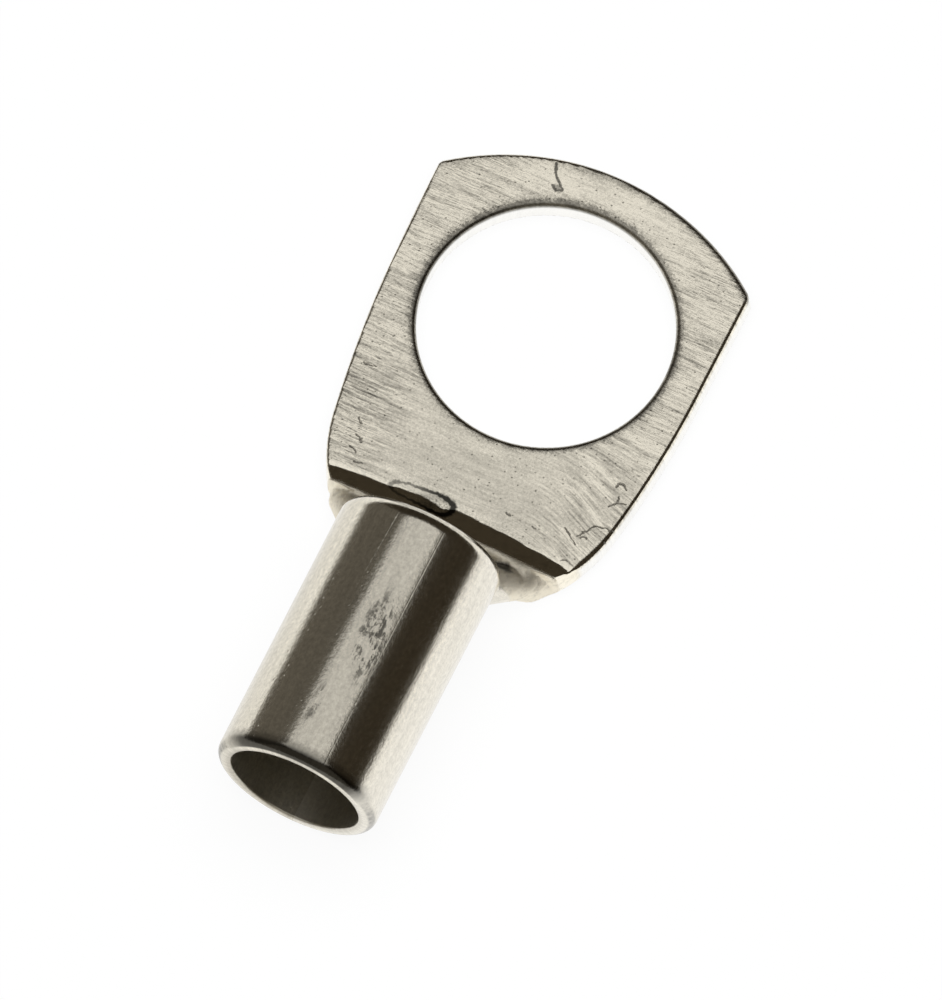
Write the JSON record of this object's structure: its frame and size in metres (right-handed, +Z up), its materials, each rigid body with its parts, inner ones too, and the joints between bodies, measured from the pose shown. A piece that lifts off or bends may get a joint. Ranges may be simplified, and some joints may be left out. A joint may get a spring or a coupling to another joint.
{
  "type": "cable lug",
  "caption": "Tube terminal for crimping on a stranded wire: round open barrel, flattened and coined palm with a stud hole, cropped round tip.",
  "frame": {"origin": "centre of the stud hole on the underside of the palm", "axes": "+Z up out of the palm's upper face along the stud hole; the barrel runs towards -Y with its mouth facing -Y; +X across the palm"},
  "size_m": [0.014, 0.0308, 0.0071],
  "materials": {
    "tinned_copper": "electro-tinned copper, warm silver grey: glossy with fine axial drawing lines on the barrel, dull and finely scratched on the coined palm, with a few pits and dark handling stains"
  },
  "bodies": {
    "root": {"lug": "tinned_copper"}
  },
  "joints": []
}
